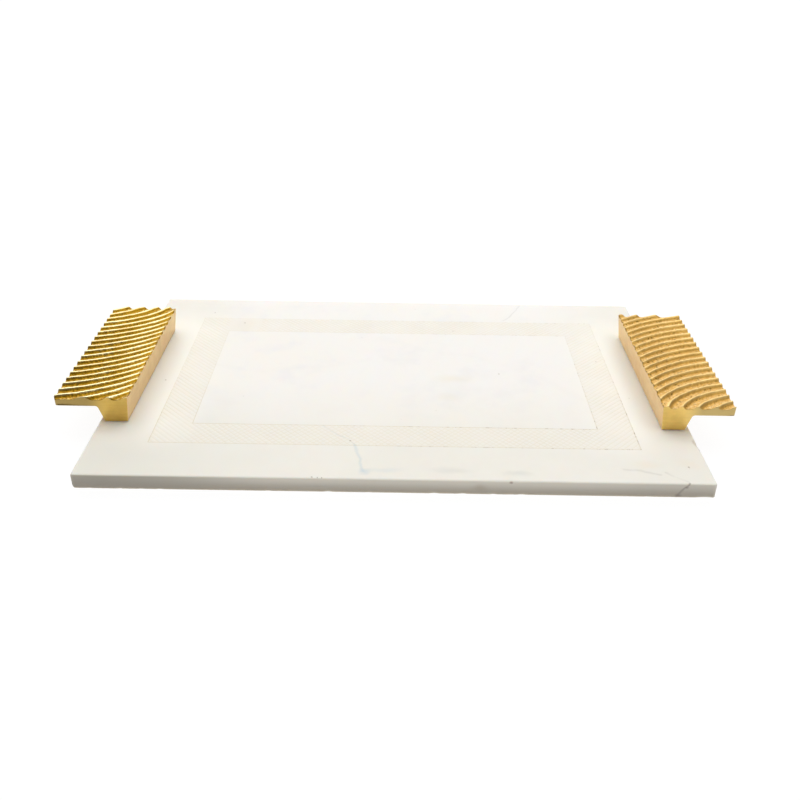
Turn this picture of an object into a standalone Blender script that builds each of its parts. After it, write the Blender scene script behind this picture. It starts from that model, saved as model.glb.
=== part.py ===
"""A marble vanity tray with two ridged cast handles, in metres, +Z up.

The origin is at the centre of the footprint, on the surface that the tray stands on. +X runs along the
tray from the left handle to the right one, and +Y runs towards the back. The tray stands on four rubber
bumpers. Each handle is held from below by two machine screws with washers, sunk in the slab.
"""

import math

import bmesh
import bpy
from mathutils import Matrix

MM = 0.001
GAP = 0.3 * MM  # the adhesive film or seat between two pieces that touch

# Rubber bumpers
FOOT_HEIGHT = 3.2 * MM
FOOT_TOP_RADIUS = 6.35 * MM
FOOT_TIP_RADIUS = 5.2 * MM
FOOT_ROUNDING = 0.8 * MM
FOOT_INSET = 20 * MM

# Marble slab
SLAB_LENGTH = 381 * MM
SLAB_DEPTH = 254 * MM
SLAB_THICKNESS = 10 * MM
SLAB_ARRIS = 1.2 * MM
SLAB_BOTTOM = FOOT_HEIGHT + GAP
SLAB_TOP = SLAB_BOTTOM + SLAB_THICKNESS

# Engraved band: two incised rectangles round the middle of the slab
BAND_LENGTH = 307 * MM
BAND_DEPTH = 182 * MM
BAND_WIDTH = 23 * MM
INCISION_RADIUS = 0.45 * MM

# Handle, seen from its end: u runs outward from the inner face's top, heights are above the slab's top
HANDLE_INNER_X = 170.1 * MM
INNER_LEAN = 1.9 * MM  # how much further out the inner face stands at its foot than at its top
BASE_OUTER = 16.9 * MM
BASE_OUTER_AT_PLATE = 19.6 * MM
PLATE_WIDTH = 46.9 * MM
PLATE_UNDERSIDE = 11.5 * MM
CREST_HEIGHT = 18.6 * MM
BASE_FILLET = 2 * MM
TIP_TOP_ROUNDING = 1.6 * MM
TIP_UNDER_ROUNDING = 0.7 * MM
SHARP_EDGE_ROUNDING = 0.5 * MM

# How far each end of a handle is from the tray's middle, at its foot and at its crests: the ends lean
HANDLE_ENDS = {"front": (67.6 * MM, 68.3 * MM), "back": (66.8 * MM, 70.5 * MM)}

# Ridges on a handle: arcs about a centre beyond the plate's tip, stepped along the handle
RIDGE_PITCH = 7.63 * MM
RIDGE_DEPTH = 2.2 * MM
RIDGE_INNER_DEPTH_SHARE = 0.55
RIDGE_FULL_DEPTH_AT = 9 * MM
RIDGE_RADIUS = 111 * MM
RIDGE_CENTRE_BEYOND_TIP = 27 * MM
RIDGE_LEAN = 0.09
RIDGE_FLARE = 7.5 * MM
RIDGE_FAR_FLARES = {"left": -1.5 * MM, "right": 2 * MM}
RIDGE_FLARE_REACH = 19 * MM
RIDGE_FLARE_POWER = 6
RIDGE_HALF_SPAN = 67.75 * MM
RIDGE_STEEP_SHARE = 0.30
RIDGE_FLOOR_SHARE = 0.58
RIDGE_CREST_SHARPNESS = 1.2
RIDGE_PLACE_ROUNDS = 40
RIDGE_PHASES = {"left": 0.60, "right": 0.14}
CUTTER_COLUMNS = 9
CUTTER_MARGIN = 1.5 * MM
CUTTER_HEIGHT = 4 * MM
SPARE_RIDGES = 3  # ridges of the cutter past each end of the handle
PAST_FACE = 1 * MM  # how far a cutter runs past the face that it opens

# Fasteners: M4 pan-head screws and plain washers in stepped holes
SCREW_RADIUS = 2 * MM
SCREW_LENGTH = 16 * MM
HEAD_RADIUS = 4 * MM
HEAD_HEIGHT = 2.6 * MM
RECESS_LENGTH = 4 * MM
RECESS_WIDTH = 1 * MM
RECESS_DEPTH = 1.4 * MM
WASHER_RADIUS = 4.5 * MM
WASHER_THICKNESS = 0.8 * MM
SCREW_HOLE_RADIUS = 2.5 * MM
TAPPED_HOLE_RADIUS = 2.3 * MM
TAPPED_HOLE_DEPTH = 11 * MM
COUNTERBORE_RADIUS = 5.25 * MM
COUNTERBORE_DEPTH = 5 * MM
SCREW_X = HANDLE_INNER_X + (INNER_LEAN + BASE_OUTER) / 2
SCREW_Y = 42 * MM
ROUND_STEPS = 24

SIDES = {"left": -1, "right": 1}
ENDS = {"front": -1, "back": 1}

WASHER_TOP = SLAB_BOTTOM + COUNTERBORE_DEPTH - GAP
HEAD_SEAT = WASHER_TOP - WASHER_THICKNESS - GAP
HANDLE_BOTTOM = SLAB_TOP + GAP


def clear_scene():
    for obj in list(bpy.data.objects):
        bpy.data.objects.remove(obj, do_unlink=True)


def new_collection(name, hidden):
    collection = bpy.data.collections.new(name)
    collection.hide_render = hidden
    bpy.context.scene.collection.children.link(collection)
    return collection


def new_material(name, colour, roughness, metallic):
    material = bpy.data.materials.new(name)
    material.use_nodes = True
    shader = material.node_tree.nodes["Principled BSDF"]
    shader.inputs["Base Color"].default_value = (*colour, 1)
    shader.inputs["Roughness"].default_value = roughness
    shader.inputs["Metallic"].default_value = metallic
    return material


def add_part(collection, name, mesh, material, location=(0, 0, 0)):
    part = bpy.data.objects.new(name, mesh)
    part.location = location
    part.data.materials.append(material)
    collection.objects.link(part)
    return part


def add_cutter(collection, name, mesh, location=(0, 0, 0)):
    cutter = bpy.data.objects.new(name, mesh)
    cutter.location = location
    cutter.hide_render = True
    cutter.display_type = "WIRE"
    collection.objects.link(cutter)
    return cutter


def cut(part, cutter):
    boolean = part.modifiers.new(cutter.name, "BOOLEAN")
    boolean.operation = "DIFFERENCE"
    boolean.solver = "EXACT"
    boolean.object = cutter


def mesh_from(bm, name):
    mesh = bpy.data.meshes.new(name)
    bm.to_mesh(mesh)
    bm.free()
    return mesh


def box_mesh(name, size):
    bm = bmesh.new()
    bmesh.ops.create_cube(bm, size=1, matrix=Matrix.Diagonal((*size, 1)))
    return mesh_from(bm, name)


def rod_mesh(name, radius, low, high):
    """A cylinder on the Z axis, from height low to height high."""
    bm = bmesh.new()
    middle = Matrix.Translation((0, 0, (low + high) / 2))
    size = {"segments": ROUND_STEPS, "radius1": radius, "radius2": radius, "depth": high - low}
    bmesh.ops.create_cone(bm, cap_ends=True, matrix=middle, **size)
    return mesh_from(bm, name)


def turned_mesh(name, profile, closed=False):
    """The (radius, height) profile, listed down its outer side, as an open line for the Screw modifier."""
    bm = bmesh.new()
    points = [bm.verts.new((radius, 0, height)) for radius, height in profile]
    for start, end in zip(points, points[1:]):
        bm.edges.new((start, end))
    if closed:
        bm.edges.new((points[-1], points[0]))
    return mesh_from(bm, name)


def turn(part):
    screw = part.modifiers.new("Turned", "SCREW")
    screw.steps = ROUND_STEPS
    screw.render_steps = ROUND_STEPS
    screw.use_merge_vertices = True
    screw.merge_threshold = 0.01 * MM


def shade_round(mesh):
    mesh.shade_smooth()
    mesh.set_sharp_from_angle(angle=math.radians(35))


def arc(centre, radius, start, end, steps):
    """Points of a circular arc, with its angles in degrees."""
    angles = (math.radians(start + (end - start) * step / steps) for step in range(steps + 1))
    return [(centre[0] + radius * math.cos(a), centre[1] + radius * math.sin(a)) for a in angles]


def mesh_of_curve(curve_object, collection):
    """The curve's solid as a mesh with its caps welded. The curve itself is removed."""
    bpy.context.scene.collection.objects.link(curve_object)
    bpy.context.view_layer.update()
    graph = bpy.context.evaluated_depsgraph_get()
    mesh = bpy.data.meshes.new_from_object(curve_object.evaluated_get(graph))
    bm = bmesh.new()
    bm.from_mesh(mesh)
    bmesh.ops.remove_doubles(bm, verts=bm.verts, dist=0.001 * MM)
    bmesh.ops.recalc_face_normals(bm, faces=bm.faces)
    bm.to_mesh(mesh)
    bm.free()
    solid = bpy.data.objects.new(curve_object.name + "_solid", mesh)
    solid.matrix_world = curve_object.matrix_world
    collection.objects.link(solid)
    bpy.data.objects.remove(curve_object, do_unlink=True)
    return solid


def add_loop(curve, points):
    spline = curve.splines.new("POLY")
    spline.points.add(len(points) - 1)
    for point, place in zip(spline.points, points):
        point.co = (*place, 1)
    spline.use_cyclic_u = True


# Slab


def add_incision_cutter(cutters, name, length, depth):
    """A square tube round a rectangle at the slab's top, whose lower half cuts a fine groove."""
    curve = bpy.data.curves.new(name, "CURVE")
    curve.dimensions = "3D"
    curve.bevel_depth = INCISION_RADIUS
    curve.bevel_resolution = 0
    corners = [(-1, -1), (1, -1), (1, 1), (-1, 1)]
    add_loop(curve, [(x * length / 2, y * depth / 2, SLAB_TOP) for x, y in corners])
    tube = mesh_of_curve(bpy.data.objects.new(name, curve), cutters)
    tube.hide_render = True
    tube.display_type = "WIRE"
    return tube


def add_slab(parts, cutters, material):
    mesh = box_mesh("marble_slab", (SLAB_LENGTH, SLAB_DEPTH, SLAB_THICKNESS))
    middle = (SLAB_BOTTOM + SLAB_TOP) / 2
    slab = add_part(parts, "marble_slab", mesh, material, (0, 0, middle))
    bevel = slab.modifiers.new("Arris", "BEVEL")
    bevel.width = SLAB_ARRIS
    bevel.segments = 3
    inner_length = BAND_LENGTH - 2 * BAND_WIDTH
    inner_depth = BAND_DEPTH - 2 * BAND_WIDTH
    cut(slab, add_incision_cutter(cutters, "outer_incision", BAND_LENGTH, BAND_DEPTH))
    cut(slab, add_incision_cutter(cutters, "inner_incision", inner_length, inner_depth))
    hole = rod_mesh("screw_hole", SCREW_HOLE_RADIUS, SLAB_BOTTOM + PAST_FACE, SLAB_TOP + PAST_FACE)
    sunk = (SLAB_BOTTOM - PAST_FACE, SLAB_BOTTOM + COUNTERBORE_DEPTH)
    counterbore = rod_mesh("counterbore", COUNTERBORE_RADIUS, *sunk)
    for place, x, y in screw_places():
        cut(slab, add_cutter(cutters, "screw_hole_" + place, hole, (x, y, 0)))
        cut(slab, add_cutter(cutters, "counterbore_" + place, counterbore, (x, y, 0)))


# Handles


def handle_outline():
    """The handle's section as (u, height) points, before its ridges are cut."""
    blank_top = CREST_HEIGHT + GAP
    lean = math.degrees(math.atan2(BASE_OUTER_AT_PLATE - BASE_OUTER, PLATE_UNDERSIDE))
    fillet_centre = (BASE_OUTER_AT_PLATE + BASE_FILLET, PLATE_UNDERSIDE - BASE_FILLET)
    tip_top = (PLATE_WIDTH - TIP_TOP_ROUNDING, blank_top - TIP_TOP_ROUNDING)
    tip_under = (PLATE_WIDTH - TIP_UNDER_ROUNDING, PLATE_UNDERSIDE + TIP_UNDER_ROUNDING)
    inner_top = (SHARP_EDGE_ROUNDING, blank_top - SHARP_EDGE_ROUNDING)
    outline = [(INNER_LEAN, GAP), (BASE_OUTER, GAP)]
    outline += arc(fillet_centre, BASE_FILLET, 180 - lean, 90, 4)
    outline += arc(tip_under, TIP_UNDER_ROUNDING, -90, 0, 2)
    outline += arc(tip_top, TIP_TOP_ROUNDING, 0, 90, 4)
    outline += arc(inner_top, SHARP_EDGE_ROUNDING, 90, 180, 2)
    return outline


def ridge_place(u, phase, side):
    """How far along the handle the ridge line of this phase lies at u. Each turn of phase is one ridge."""
    inward = PLATE_WIDTH - u
    reach = RIDGE_CENTRE_BEYOND_TIP
    sag = math.sqrt(RIDGE_RADIUS**2 - reach**2) - math.sqrt(RIDGE_RADIUS**2 - (reach + inward) ** 2)
    fade = 1 - math.exp(-max(inward, 0) / RIDGE_FLARE_REACH)
    v = phase * RIDGE_PITCH - sag
    for _ in range(RIDGE_PLACE_ROUNDS):
        near = min(max(-v / RIDGE_HALF_SPAN, 0), 1) ** RIDGE_FLARE_POWER
        far = min(max(v / RIDGE_HALF_SPAN, 0), 1) ** RIDGE_FLARE_POWER
        flare = fade * (RIDGE_FLARE * near + RIDGE_FAR_FLARES[side] * far)
        lean = sag * RIDGE_LEAN * v / RIDGE_HALF_SPAN
        v = phase * RIDGE_PITCH - sag + lean - flare
    return v


def ridge_height(turn_share):
    """The wave's height, 0 to 1, at this share of a turn past a crest: a steep side, a trough, a slow side."""
    falling = min(turn_share / RIDGE_STEEP_SHARE, 1)
    rising = min((1 - turn_share) / (1 - RIDGE_FLOOR_SHARE), 1)
    return (0.5 + 0.5 * math.cos(math.pi * min(falling, rising))) ** RIDGE_CREST_SHARPNESS


def ridge_depth(u):
    """The ridges are shallower along the inner face."""
    share = min(max(u / RIDGE_FULL_DEPTH_AT, 0), 1)
    smooth = share * share * (3 - 2 * share)
    return RIDGE_DEPTH * (RIDGE_INNER_DEPTH_SHARE + (1 - RIDGE_INNER_DEPTH_SHARE) * smooth)


def ridge_cutter_mesh(name, side):
    """A block whose underside is the ridged surface, so that cutting with it leaves the ridges."""
    steep_first = side == "left"
    shares = (0, RIDGE_STEEP_SHARE / 2, RIDGE_STEEP_SHARE, RIDGE_FLOOR_SHARE)
    if not steep_first:
        shares = sorted((1 - share) % 1 for share in shares)
    turns_before = math.ceil(RIDGE_HALF_SPAN / RIDGE_PITCH) + SPARE_RIDGES
    turns_after = math.ceil((RIDGE_HALF_SPAN + PLATE_WIDTH / 2) / RIDGE_PITCH) + SPARE_RIDGES
    rows = (turns_before + turns_after) * len(shares)
    bm = bmesh.new()
    bmesh.ops.create_grid(bm, x_segments=CUTTER_COLUMNS, y_segments=rows, size=1)
    for vert in bm.verts:
        column = (vert.co.x + 1) / 2
        turns, step = divmod(round((vert.co.y + 1) / 2 * rows), len(shares))
        share = shares[step]
        wave = ridge_height(share if steep_first else 1 - share)
        u = -CUTTER_MARGIN + (PLATE_WIDTH + 2 * CUTTER_MARGIN) * column
        v = ridge_place(u, turns - turns_before + share + RIDGE_PHASES[side], side)
        vert.co = (u, v, CREST_HEIGHT - ridge_depth(u) * (1 - wave))
    raised = bmesh.ops.extrude_face_region(bm, geom=list(bm.faces))
    for item in raised["geom"]:
        if isinstance(item, bmesh.types.BMVert):
            item.co.z = CREST_HEIGHT + CUTTER_HEIGHT
    bmesh.ops.recalc_face_normals(bm, faces=list(bm.faces))
    return mesh_from(bm, name)


def lean_ends(mesh, side):
    """Moves the section's two ends to their leaning places. Here Y is the height and Z runs along the handle."""
    for vert in mesh.vertices:
        end = "back" if vert.co.z * SIDES[side] < 0 else "front"
        foot, crest = HANDLE_ENDS[end]
        reach = foot + (crest - foot) * vert.co.y / CREST_HEIGHT
        vert.co.z = math.copysign(reach, vert.co.z)


def add_handle(parts, cutters, side, material):
    """One casting: an overhanging plate on an upright base. The left one is turned half a turn."""
    name = "handle_" + side
    turned = Matrix.Rotation(math.radians(0 if side == "right" else 180), 4, "Z")
    place = Matrix.Translation((SIDES[side] * HANDLE_INNER_X, 0, SLAB_TOP)) @ turned
    curve = bpy.data.curves.new(name + "_section", "CURVE")
    curve.dimensions = "2D"
    curve.fill_mode = "BOTH"
    curve.extrude = RIDGE_HALF_SPAN
    add_loop(curve, [(u, height, 0) for u, height in handle_outline()])
    section = bpy.data.objects.new(name + "_section", curve)
    section.matrix_world = place @ Matrix.Rotation(math.radians(90), 4, "X")
    handle = mesh_of_curve(section, parts)
    handle.name = name
    handle.data.name = name
    handle.data.materials.clear()
    handle.data.materials.append(material)
    lean_ends(handle.data, side)
    shade_round(handle.data)
    mesh = ridge_cutter_mesh(name + "_ridges", side)
    shade_round(mesh)
    ridges = add_cutter(cutters, name + "_ridges", mesh)
    ridges.matrix_world = place
    cut(handle, ridges)
    bored = (HANDLE_BOTTOM - PAST_FACE, HANDLE_BOTTOM + TAPPED_HOLE_DEPTH)
    hole = rod_mesh("tapped_hole", TAPPED_HOLE_RADIUS, *bored)
    for end, sign in ENDS.items():
        location = (SIDES[side] * SCREW_X, sign * SCREW_Y, 0)
        cut(handle, add_cutter(cutters, f"tapped_hole_{side}_{end}", hole, location))


# Fasteners and feet


def screw_places():
    """The name and the x, y of each of the four screws."""
    for side, x_sign in SIDES.items():
        for end, y_sign in ENDS.items():
            yield f"{side}_{end}", x_sign * SCREW_X, y_sign * SCREW_Y


def screw_profile():
    """A pan head below and a shank above, from the tip of the shank down to the middle of the head."""
    chamfer = 0.4 * MM
    profile = [(0, HEAD_SEAT + SCREW_LENGTH), (SCREW_RADIUS - chamfer, HEAD_SEAT + SCREW_LENGTH)]
    profile += [(SCREW_RADIUS, HEAD_SEAT + SCREW_LENGTH - chamfer), (SCREW_RADIUS, HEAD_SEAT)]
    rounding = HEAD_HEIGHT / 2
    centre = (HEAD_RADIUS - rounding, HEAD_SEAT - HEAD_HEIGHT + rounding)
    profile += [(HEAD_RADIUS, HEAD_SEAT)] + arc(centre, rounding, 0, -90, 4)
    return profile + [(0, HEAD_SEAT - HEAD_HEIGHT)]


def add_screws(parts, cutters, material):
    slot = box_mesh("recess", (RECESS_LENGTH, RECESS_WIDTH, 2 * RECESS_DEPTH))
    head_face = HEAD_SEAT - HEAD_HEIGHT
    for place, x, y in screw_places():
        mesh = turned_mesh("machine_screw", screw_profile())
        screw = add_part(parts, "screw_" + place, mesh, material, (x, y, 0))
        turn(screw)
        for arm, angle in {"x": 0, "y": 90}.items():
            recess = add_cutter(cutters, f"recess_{arm}_{place}", slot, (x, y, head_face))
            recess.rotation_euler.z = math.radians(angle)
            cut(screw, recess)


def add_washers(parts, material):
    inner, outer = TAPPED_HOLE_RADIUS, WASHER_RADIUS
    top, bottom = WASHER_TOP, WASHER_TOP - WASHER_THICKNESS
    profile = [(inner, top), (outer, top), (outer, bottom), (inner, bottom)]
    for place, x, y in screw_places():
        mesh = turned_mesh("washer", profile, closed=True)
        turn(add_part(parts, "washer_" + place, mesh, material, (x, y, 0)))


def add_feet(parts, material):
    centre = (FOOT_TIP_RADIUS - FOOT_ROUNDING, FOOT_ROUNDING)
    profile = [(0, FOOT_HEIGHT), (FOOT_TOP_RADIUS, FOOT_HEIGHT)]
    profile += arc(centre, FOOT_ROUNDING, 0, -90, 3) + [(0, 0)]
    for side, x_sign in SIDES.items():
        for end, y_sign in ENDS.items():
            x = x_sign * (SLAB_LENGTH / 2 - FOOT_INSET)
            y = y_sign * (SLAB_DEPTH / 2 - FOOT_INSET)
            mesh = turned_mesh("foot", profile)
            turn(add_part(parts, f"foot_{side}_{end}", mesh, material, (x, y, 0)))


def main():
    clear_scene()
    parts = new_collection("vanity_tray", hidden=False)
    cutters = new_collection("cutters", hidden=True)
    marble = new_material("white_marble", (0.86, 0.84, 0.79), 0.35, 0.0)
    gold = new_material("gold_brass", (0.83, 0.60, 0.26), 0.32, 1.0)
    steel = new_material("zinc_steel", (0.62, 0.62, 0.60), 0.35, 1.0)
    rubber = new_material("clear_rubber", (0.72, 0.72, 0.70), 0.55, 0.0)
    add_slab(parts, cutters, marble)
    for side in SIDES:
        add_handle(parts, cutters, side, gold)
    add_screws(parts, cutters, steel)
    add_washers(parts, steel)
    add_feet(parts, rubber)


main()
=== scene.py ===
"""The looks of the marble vanity tray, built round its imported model. Metres, +Z up, in the model's frame."""

import math
import random

import bmesh
import bpy
import numpy as np
from mathutils import Matrix, Vector, noise


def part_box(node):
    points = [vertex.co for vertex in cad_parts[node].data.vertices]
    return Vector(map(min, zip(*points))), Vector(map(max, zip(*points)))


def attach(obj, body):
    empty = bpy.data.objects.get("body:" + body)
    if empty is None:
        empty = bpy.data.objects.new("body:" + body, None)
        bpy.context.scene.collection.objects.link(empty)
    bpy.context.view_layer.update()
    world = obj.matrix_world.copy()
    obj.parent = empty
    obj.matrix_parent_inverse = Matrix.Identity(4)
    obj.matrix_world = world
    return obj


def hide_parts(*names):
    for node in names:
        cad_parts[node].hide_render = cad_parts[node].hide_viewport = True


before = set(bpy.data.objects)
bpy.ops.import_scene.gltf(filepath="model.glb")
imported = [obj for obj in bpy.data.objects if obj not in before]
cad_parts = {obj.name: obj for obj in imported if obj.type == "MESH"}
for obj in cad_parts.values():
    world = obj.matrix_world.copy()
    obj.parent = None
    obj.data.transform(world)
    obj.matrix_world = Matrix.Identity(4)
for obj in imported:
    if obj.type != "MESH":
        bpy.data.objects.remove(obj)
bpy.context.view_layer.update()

MM = 0.001

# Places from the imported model
SLAB_LOW, SLAB_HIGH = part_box("marble_slab")
HANDLE_LOW, HANDLE_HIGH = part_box("handle_right")
SCREW_LOW, SCREW_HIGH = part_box("screw_right_back")
WASHER_LOW, WASHER_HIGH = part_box("washer_right_back")
FOOT_LOW, FOOT_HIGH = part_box("foot_right_back")
SLAB_TOP = SLAB_HIGH.z
SLAB_BOTTOM = SLAB_LOW.z
PLACES = ("left_front", "left_back", "right_front", "right_back")

# Slab
SLAB_CORNER_RADIUS = 1.6 * MM
SLAB_ARRIS = 1.2 * MM
SLAB_DENT = (SLAB_HIGH.x, -86 * MM)
COUNTERBORE_RADIUS = 5.25 * MM
COUNTERBORE_TOP = SLAB_BOTTOM + 5 * MM
SCREW_HOLE_RADIUS = 2.5 * MM

# Engraved band
BAND_LENGTH = 307 * MM
BAND_DEPTH = 182 * MM
BAND_WIDTH = 23 * MM
INCISION_HALF_WIDTH = 0.35 * MM
INCISION_DEPTH = 0.11 * MM
HATCH_PITCH = 3.0 * MM
HATCH_HALF_WIDTH = 0.42 * MM
HATCH_DEPTH = 0.16 * MM

# Handle section: u runs outward from the inner face's top, heights are above the slab's top
HANDLE_INNER_X = HANDLE_LOW.x
HANDLE_SEAT = HANDLE_LOW.z - SLAB_TOP
PLATE_WIDTH = HANDLE_HIGH.x - HANDLE_LOW.x
CREST_HEIGHT = HANDLE_HIGH.z - SLAB_TOP
INNER_LEAN = 1.9 * MM
BASE_OUTER = 16.9 * MM
BASE_OUTER_AT_PLATE = 19.6 * MM
PLATE_UNDERSIDE = 11.5 * MM
BASE_FILLET = 2 * MM
TIP_TOP_ROUNDING = 1.6 * MM
TIP_UNDER_ROUNDING = 0.7 * MM
TIP_CORNER_RADIUS = 1.6 * MM
EDGE_ROUNDING = 0.45 * MM
TAPPED_HOLE_RADIUS = 2.3 * MM
TAPPED_HOLE_DEPTH = 11 * MM

# How far each end of a handle is from the tray's middle, at its foot and at its crests: the ends lean
HANDLE_ENDS = {"front": (67.6 * MM, -HANDLE_LOW.y), "back": (66.8 * MM, HANDLE_HIGH.y)}

# Ridges, by the same rule as in the model
RIDGE_PITCH = 7.63 * MM
RIDGE_DEPTH = 2.2 * MM
RIDGE_INNER_DEPTH_SHARE = 0.55
RIDGE_FULL_DEPTH_AT = 9 * MM
RIDGE_RADIUS = 111 * MM
RIDGE_CENTRE_BEYOND_TIP = 27 * MM
RIDGE_LEAN = 0.09
RIDGE_FLARE = 7.5 * MM
RIDGE_FAR_FLARES = {"left": -1.5 * MM, "right": 2 * MM}
RIDGE_FLARE_REACH = 19 * MM
RIDGE_FLARE_POWER = 6
RIDGE_HALF_SPAN = 67.75 * MM
RIDGE_STEEP_SHARE = 0.30
RIDGE_FLOOR_SHARE = 0.58
RIDGE_CREST_SHARPNESS = 1.2
RIDGE_PHASES = {"left": 0.60, "right": 0.14}
PIT_DEPTHS = {"left": 0.32 * MM, "right": 0.42 * MM}


# Meshes


def new_object(name, mesh, materials):
    obj = bpy.data.objects.new(name, mesh)
    for material in materials:
        obj.data.materials.append(material)
    bpy.context.scene.collection.objects.link(obj)
    return obj


def mesh_from(bm, name):
    mesh = bpy.data.meshes.new(name)
    bm.to_mesh(mesh)
    bm.free()
    return mesh


def shade(mesh, sharp_angle=35):
    mesh.shade_smooth()
    mesh.set_sharp_from_angle(angle=math.radians(sharp_angle))


def arc(centre, radius, start, end, steps):
    """Points of a circular arc, with its angles in degrees."""
    angles = (math.radians(start + (end - start) * step / steps) for step in range(steps + 1))
    return [(centre[0] + radius * math.cos(a), centre[1] + radius * math.sin(a)) for a in angles]


def line(start, end, spacing):
    """Points from start up to but not including end, about this far apart."""
    steps = max(1, round(math.dist(start, end) / spacing))
    shares = (step / steps for step in range(steps))
    return [(start[0] + (end[0] - start[0]) * s, start[1] + (end[1] - start[1]) * s) for s in shares]


def tube_faces(rings, around):
    """Quads between rings of points, each ring a closed loop of this many points."""
    ring = np.arange(rings - 1)[:, None] * around
    here = np.arange(around)[None, :]
    after = (here + 1) % around
    corners = [ring + here, ring + after, ring + around + after, ring + around + here]
    return np.stack(corners, -1).reshape(-1, 4)


def turned_mesh(name, profile, segments):
    """A solid of revolution about Z from (radius, height) points that start and end on the axis or meet."""
    angles = np.linspace(0, 2 * math.pi, segments, endpoint=False)
    points = [(r * math.cos(a), r * math.sin(a), z) for r, z in profile for a in angles]
    mesh = bpy.data.meshes.new(name)
    mesh.from_pydata(points, [], tube_faces(len(profile), segments).tolist())
    bm = bmesh.new()
    bm.from_mesh(mesh)
    bmesh.ops.remove_doubles(bm, verts=bm.verts, dist=0.001 * MM)
    bmesh.ops.recalc_face_normals(bm, faces=bm.faces)
    bm.to_mesh(mesh)
    bm.free()
    shade(mesh)
    return mesh


def rod_mesh(name, radius, low, high, segments=48):
    bm = bmesh.new()
    middle = Matrix.Translation((0, 0, (low + high) / 2))
    size = {"segments": segments, "radius1": radius, "radius2": radius, "depth": high - low}
    bmesh.ops.create_cone(bm, cap_ends=True, matrix=middle, **size)
    return mesh_from(bm, name)


def apply_cuts(obj, cutters):
    """Cuts each cutter from obj, makes the result obj's own mesh, and removes the cutters."""
    for cutter in cutters:
        boolean = obj.modifiers.new(cutter.name, "BOOLEAN")
        boolean.operation = "DIFFERENCE"
        boolean.solver = "MANIFOLD"
        boolean.object = cutter
    bpy.context.view_layer.update()
    graph = bpy.context.evaluated_depsgraph_get()
    mesh = bpy.data.meshes.new_from_object(obj.evaluated_get(graph))
    obj.modifiers.clear()
    obj.data = mesh
    for cutter in cutters:
        bpy.data.objects.remove(cutter, do_unlink=True)


def set_attribute(mesh, name, values):
    attribute = mesh.attributes.get(name) or mesh.attributes.new(name, "FLOAT", "POINT")
    attribute.data.foreach_set("value", np.asarray(values, np.float32))


def vertex_places(mesh):
    places = np.empty(len(mesh.vertices) * 3, np.float32)
    mesh.vertices.foreach_get("co", places)
    return places.reshape(-1, 3).astype(float)


# Ridged handles


def smooth_step(low, high, value):
    share = np.clip((value - low) / (high - low), 0, 1)
    return share * share * (3 - 2 * share)


def smooth_min(a, b, radius):
    blend = np.maximum(radius - np.abs(a - b), 0) / radius
    return np.minimum(a, b) - blend * blend * radius / 4


def noise_at(points, size):
    """Perlin noise, about -1 to 1, with features of this size."""
    return np.array([noise.noise(Vector(point) / size) for point in points])


def ridge_share(u, v, side, wobble):
    """How far through a ridge a place is: 0 on its crest, then its steep side, trough and slow side."""
    inward = PLATE_WIDTH - u
    reach = RIDGE_CENTRE_BEYOND_TIP
    sag = math.sqrt(RIDGE_RADIUS**2 - reach**2) - np.sqrt(RIDGE_RADIUS**2 - (reach + inward) ** 2)
    fade = 1 - np.exp(-np.maximum(inward, 0) / RIDGE_FLARE_REACH)
    near = np.clip(-v / RIDGE_HALF_SPAN, 0, 1) ** RIDGE_FLARE_POWER
    far = np.clip(v / RIDGE_HALF_SPAN, 0, 1) ** RIDGE_FLARE_POWER
    flare = fade * (RIDGE_FLARE * near + RIDGE_FAR_FLARES[side] * far)
    lean = sag * RIDGE_LEAN * v / RIDGE_HALF_SPAN
    phase = (v + sag - lean + flare + wobble) / RIDGE_PITCH - RIDGE_PHASES[side]
    return phase % 1 if side == "left" else 1 - phase % 1


def ridge_wave(share):
    """The ridges' height, 0 in a trough to 1 on a crest."""
    falling = np.clip(share / RIDGE_STEEP_SHARE, 0, 1)
    rising = np.clip((1 - share) / (1 - RIDGE_FLOOR_SHARE), 0, 1)
    return (0.5 + 0.5 * np.cos(math.pi * np.minimum(falling, rising))) ** RIDGE_CREST_SHARPNESS


def handle_outline():
    """The handle's section as (u, height) points, anticlockwise, closely spaced along its top."""
    top = CREST_HEIGHT + 0.3 * MM
    lean = math.degrees(math.atan2(BASE_OUTER_AT_PLATE - BASE_OUTER, PLATE_UNDERSIDE))
    fillet = (BASE_OUTER_AT_PLATE + BASE_FILLET, PLATE_UNDERSIDE - BASE_FILLET)
    tip_under = (PLATE_WIDTH - TIP_UNDER_ROUNDING, PLATE_UNDERSIDE + TIP_UNDER_ROUNDING)
    tip_top = (PLATE_WIDTH - TIP_TOP_ROUNDING, top - TIP_TOP_ROUNDING)
    edge = EDGE_ROUNDING
    seat = HANDLE_SEAT
    points = arc((INNER_LEAN + edge, seat + edge), edge, 180, 270, 3)
    points += line((INNER_LEAN + 2 * edge, seat), (BASE_OUTER - 2 * edge, seat), 4 * MM)
    points += arc((BASE_OUTER - edge, seat + edge), edge, -90, 0, 3)
    foot = points[-1]
    fillet_points = arc(fillet, BASE_FILLET, 180 - lean, 90, 6)
    points += line(foot, fillet_points[0], 2 * MM)[1:]
    points += fillet_points
    under = arc(tip_under, TIP_UNDER_ROUNDING, -90, 0, 4)
    points += line(fillet_points[-1], under[0], 2 * MM)[1:]
    points += under
    over = arc(tip_top, TIP_TOP_ROUNDING, 0, 90, 10)
    points += line(under[-1], over[0], 0.8 * MM)[1:]
    points += over
    inner = arc((edge, top - edge), edge, 90, 180, 4)
    points += line(over[-1], inner[0], 0.46 * MM)[1:]
    points += inner
    points += line(inner[-1], points[0], 1.5 * MM)[1:]
    return np.array(points)


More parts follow.
